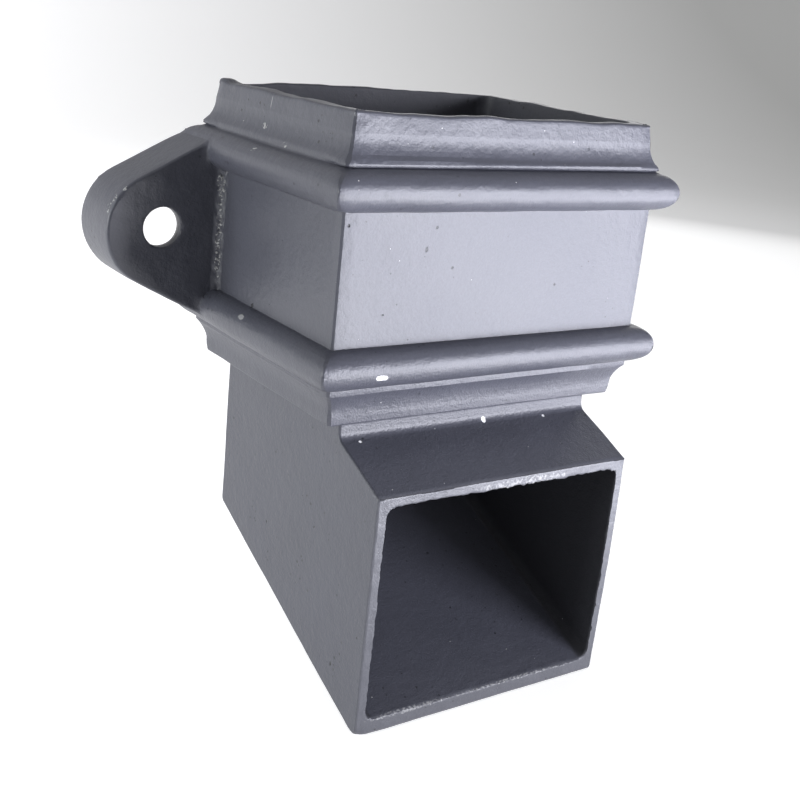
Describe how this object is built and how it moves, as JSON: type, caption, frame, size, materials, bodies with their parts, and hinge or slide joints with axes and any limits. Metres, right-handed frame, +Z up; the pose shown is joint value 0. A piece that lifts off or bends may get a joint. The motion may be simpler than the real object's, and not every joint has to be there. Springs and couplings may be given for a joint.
{
  "type": "downpipe shoe",
  "caption": "Cast-iron rectangular downpipe shoe: moulded socket for the pipe's end, wall ears with fixing holes, and a sloping toe with an upright open mouth.",
  "frame": {"origin": "midway between the two ear fixing holes, on the ears' front face where the screw heads bear", "axes": "+Z up along the pipe, -Y towards the mouth and away from the wall, +X to the right seen from the front"},
  "size_m": [0.2026, 0.1152, 0.1939],
  "materials": {
    "painted_iron": "satin dark grey paint over sand-cast iron"
  },
  "bodies": {
    "root": {"shoe_casting": "painted_iron"}
  },
  "joints": []
}
